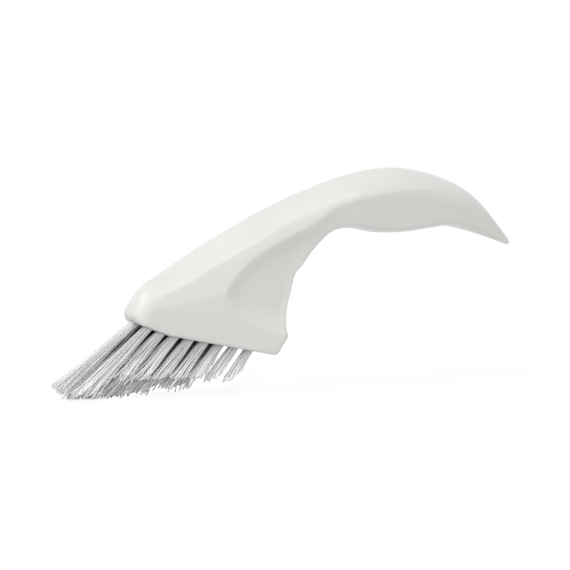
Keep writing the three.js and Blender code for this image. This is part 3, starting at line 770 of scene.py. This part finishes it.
# ---- Materials ---------------------------------------------------------------------------------
class Looks:
    """A node material with a Principled shader, and short calls for its texture nodes."""

    def __init__(self, name):
        self.material = bpy.data.materials.new(name)
        self.material.use_nodes = True
        self.nodes = self.material.node_tree.nodes
        self.links = self.material.node_tree.links
        self.shader = self.nodes["Principled BSDF"]
        self.place = self.nodes.new("ShaderNodeTexCoord").outputs["Object"]

    def noise(self, scale, detail=3.0, stretch=(1, 1, 1)):
        mapping = self.nodes.new("ShaderNodeMapping")
        mapping.inputs["Scale"].default_value = stretch
        self.links.new(self.place, mapping.inputs["Vector"])
        texture = self.nodes.new("ShaderNodeTexNoise")
        texture.inputs["Scale"].default_value = scale
        texture.inputs["Detail"].default_value = detail
        self.links.new(mapping.outputs["Vector"], texture.inputs["Vector"])
        return texture.outputs["Fac"]

    def attribute(self, name):
        node = self.nodes.new("ShaderNodeAttribute")
        node.attribute_name = name
        return node.outputs["Fac"]

    def spread(self, value, low, high, start=0.3, end=0.7):
        """Maps a texture's value to a range of numbers."""
        scaled = self.nodes.new("ShaderNodeMapRange")
        scaled.inputs["From Min"].default_value = start
        scaled.inputs["From Max"].default_value = end
        scaled.inputs["To Min"].default_value = low
        scaled.inputs["To Max"].default_value = high
        self.links.new(value, scaled.inputs["Value"])
        return scaled.outputs["Result"]

    def blend(self, factor, dark, light):
        mixed = self.nodes.new("ShaderNodeMix")
        mixed.data_type = "RGBA"
        for socket, color in ((mixed.inputs[6], dark), (mixed.inputs[7], light)):
            if isinstance(color, tuple):
                socket.default_value = (*color, 1)
            else:
                self.links.new(color, socket)
        self.links.new(factor, mixed.inputs[0])
        return mixed.outputs[2]

    def set(self, socket, value):
        target = self.shader.inputs[socket]
        if isinstance(value, (int, float)):
            target.default_value = value
        else:
            self.links.new(value, target)

    def bump(self, height, depth, before=None):
        node = self.nodes.new("ShaderNodeBump")
        node.inputs["Distance"].default_value = depth
        self.links.new(height, node.inputs["Height"])
        if before:
            self.links.new(before, node.inputs["Normal"])
        return node.outputs["Normal"]


def white_plastic():
    looks = Looks("white_plastic")
    clouds = looks.spread(looks.noise(28, 4), 0, 1)
    looks.set("Base Color", looks.blend(clouds, PLASTIC_SHADE, PLASTIC_LIGHT))
    looks.set("Roughness", looks.spread(looks.noise(900, 4), 0.28, 0.36))
    looks.set("Specular IOR Level", 0.45)
    looks.set("Subsurface Weight", 0.12)
    looks.shader.inputs["Subsurface Radius"].default_value = (1.0, 0.95, 0.85)
    looks.set("Subsurface Scale", 0.0015)
    sink = looks.bump(looks.noise(60, 2), 0.00006)
    looks.set("Normal", looks.bump(looks.noise(1800, 3), 0.000006, sink))
    return looks.material


def nylon_bristle(name, root_color, shade_color=NYLON_SHADE):
    looks = Looks(name)
    own = looks.blend(looks.attribute("tone"), shade_color, NYLON_LIGHT)
    streaks = looks.spread(looks.noise(420, 3), 0, 0.3)
    own = looks.blend(streaks, own, shade_color)
    # Towards the root the colour goes to root_color, which for the middle row is near black:
    # painted shade
    from_root = looks.spread(looks.attribute("along"), 0, 1, start=0.45, end=0.8)
    own = looks.blend(from_root, root_color, own)
    # Towards the tips it goes to NYLON_TIP: the frayed ends' own lighter colour, and painted light
    # as well
    worn_and_lit_tips = looks.spread(looks.attribute("along"), 0, 1, start=0.6, end=0.85)
    looks.set("Base Color", looks.blend(worn_and_lit_tips, own, NYLON_TIP))
    looks.set("Roughness", looks.spread(looks.noise(700, 3), 0.3, 0.46))
    looks.set("Specular IOR Level", 0.5)
    looks.set("Normal", looks.bump(looks.noise(2600, 3), 0.00001))
    return looks.material


def anchor_wire():
    looks = Looks("anchor_wire")
    clouds = looks.spread(looks.noise(500, 4), 0, 1)
    looks.set("Base Color", looks.blend(clouds, WIRE_DARK, WIRE_LIGHT))
    looks.set("Metallic", 1.0)
    grain = looks.noise(900, 4, (1, 1, 6))
    looks.set("Roughness", looks.spread(grain, 0.25, 0.45))
    looks.set("Normal", looks.bump(grain, 0.00002))
    return looks.material


# ---- Assembly ----------------------------------------------------------------------------------
def dress(piece, node, material):
    piece.data.materials.append(material)
    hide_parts(node)
    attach(piece, "root")


plastic = white_plastic()
wire = anchor_wire()
side_nylon = nylon_bristle("nylon_side", NYLON_ROOT)
# The middle row's roots are painted near black: painted shade for the shade between the side rows.
shaded_middle_nylon = nylon_bristle("nylon_middle_painted_shade", MIDDLE_ROOT_PAINTED_SHADE)
# The nose tuft gets a lighter copy of the nylon: painted light for the light that falls on it.
lit_nose_nylon = nylon_bristle("nylon_nose_painted_light", NOSE_PAINTED_LIGHT, NOSE_PAINTED_LIGHT)
tufts = tuft_layout()
dress(make_body(tufts), "body_moulding", plastic)
for number, one in enumerate(tufts):
    if one["name"].startswith("middle"):
        nylon = shaded_middle_nylon
    else:
        nylon = lit_nose_nylon if one["name"] == "nose" else side_nylon
    dress(make_tuft(one, number), "tuft_" + one["name"], nylon)
    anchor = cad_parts["anchor_" + one["name"]]
    anchor.data.materials.clear()
    anchor.data.materials.append(wire)


# ---- Stage, light and camera -------------------------------------------------------------------
FLOOR_REACH = 6.0  # metres
FLOOR_GREY = 0.8
FLOOR_GLOW = 1.03  # what the floor shows where it is seen directly
FLOOR_GLOW_SHARE = 0.9  # the rest of what it shows there is its grey under the lights
WORLD_LIGHT = 0.41
BACKDROP_WHITE = 1.0
AZIMUTH = math.radians(-25)
ELEVATION = math.radians(6)
VIEW_CENTRE = (0.89, 35.16)  # across and up in the picture plane, at the middle of the frame
VIEW_WIDTH = 193.8
CAMERA_DISTANCE = 2500.0
SENSOR_WIDTH = 36.0
CLIP_END = 100.0  # metres
# Name, direction towards the light, how wide it looks from the brush, and strength
LIGHTS = [
    ("key_light", (-0.6, -0.1, 0.79), math.radians(40), 1.22),
    ("edge_light", (0.0, -0.68, 0.73), math.radians(24), 0.57),
    ("fill_light", (-0.55, -0.82, 0.12), math.radians(80), 0.42),
]


def seen_directly(nodes, links):
    """1 on rays that show the backdrop, from the camera or by way of metal and glass, else 0."""
    path = nodes.new("ShaderNodeLightPath")
    total = path.outputs["Is Camera Ray"]
    for kind in ("Is Glossy Ray", "Is Transmission Ray"):
        either = nodes.new("ShaderNodeMath")
        either.operation = "MAXIMUM"
        links.new(total, either.inputs[0])
        links.new(path.outputs[kind], either.inputs[1])
        total = either.outputs[0]
    return total


def pale_floor():
    """Grey under the lights, and nearly as white as the backdrop where it is seen directly."""
    material = bpy.data.materials.new("pale_floor")
    material.use_nodes = True
    nodes, links = material.node_tree.nodes, material.node_tree.links
    shader = nodes["Principled BSDF"]
    shader.inputs["Base Color"].default_value = (FLOOR_GREY, FLOOR_GREY, FLOOR_GREY, 1)
    shader.inputs["Roughness"].default_value = 0.9
    glow = nodes.new("ShaderNodeEmission")
    glow.inputs["Strength"].default_value = FLOOR_GLOW
    share = nodes.new("ShaderNodeMath")
    share.operation = "MULTIPLY"
    share.inputs[1].default_value = FLOOR_GLOW_SHARE
    links.new(seen_directly(nodes, links), share.inputs[0])
    blend = nodes.new("ShaderNodeMixShader")
    links.new(share.outputs[0], blend.inputs[0])
    links.new(shader.outputs[0], blend.inputs[1])
    links.new(glow.outputs[0], blend.inputs[2])
    links.new(blend.outputs[0], nodes["Material Output"].inputs[0])
    return material


def make_floor():
    mesh = bpy.data.meshes.new("floor")
    signs = ((-1, -1), (1, -1), (1, 1), (-1, 1))
    corners = [(FLOOR_REACH * x, FLOOR_REACH * y, 0) for x, y in signs]
    mesh.from_pydata(corners, [], [(0, 1, 2, 3)])
    floor = bpy.data.objects.new("floor", mesh)
    bpy.context.scene.collection.objects.link(floor)
    mesh.materials.append(pale_floor())


def soft_light(name, towards, width, strength):
    """Light from far away that is as soft as if it came from a wide patch of the studio."""
    data = bpy.data.lights.new(name, "SUN")
    data.angle = width
    data.energy = strength
    light = bpy.data.objects.new(name, data)
    light.rotation_euler = (-Vector(towards)).to_track_quat("-Z", "Y").to_euler()
    bpy.context.scene.collection.objects.link(light)


def make_world():
    """A dim light from all sides, which shows as a white backdrop where it is seen directly."""
    world = bpy.data.worlds.new("studio")
    bpy.context.scene.world = world
    world.use_nodes = True
    nodes, links = world.node_tree.nodes, world.node_tree.links
    backdrop = nodes["Background"]
    backdrop.inputs["Color"].default_value = (1, 1, 1, 1)
    strength = nodes.new("ShaderNodeMapRange")
    strength.inputs["To Min"].default_value = WORLD_LIGHT
    strength.inputs["To Max"].default_value = BACKDROP_WHITE
    links.new(seen_directly(nodes, links), strength.inputs["Value"])
    links.new(strength.outputs["Result"], backdrop.inputs["Strength"])


def make_camera():
    across = Vector((math.cos(AZIMUTH), math.sin(AZIMUTH), 0))
    up = Vector((-math.sin(AZIMUTH) * math.sin(ELEVATION), math.cos(AZIMUTH) * math.sin(ELEVATION),
                 math.cos(ELEVATION)))
    back = across.cross(up)
    place = across * VIEW_CENTRE[0] + up * VIEW_CENTRE[1] + back * CAMERA_DISTANCE
    data = bpy.data.cameras.new("camera")
    data.sensor_width = SENSOR_WIDTH
    data.lens = SENSOR_WIDTH * CAMERA_DISTANCE / VIEW_WIDTH
    data.clip_end = CLIP_END
    camera = bpy.data.objects.new("camera", data)
    turned = Matrix((across, up, back)).transposed().to_4x4()
    camera.matrix_world = Matrix.Translation(place * MM) @ turned
    bpy.context.scene.collection.objects.link(camera)
    bpy.context.scene.camera = camera


bpy.context.scene.view_settings.view_transform = "Standard"
make_floor()
make_world()
for light in LIGHTS:
    soft_light(*light)
make_camera()
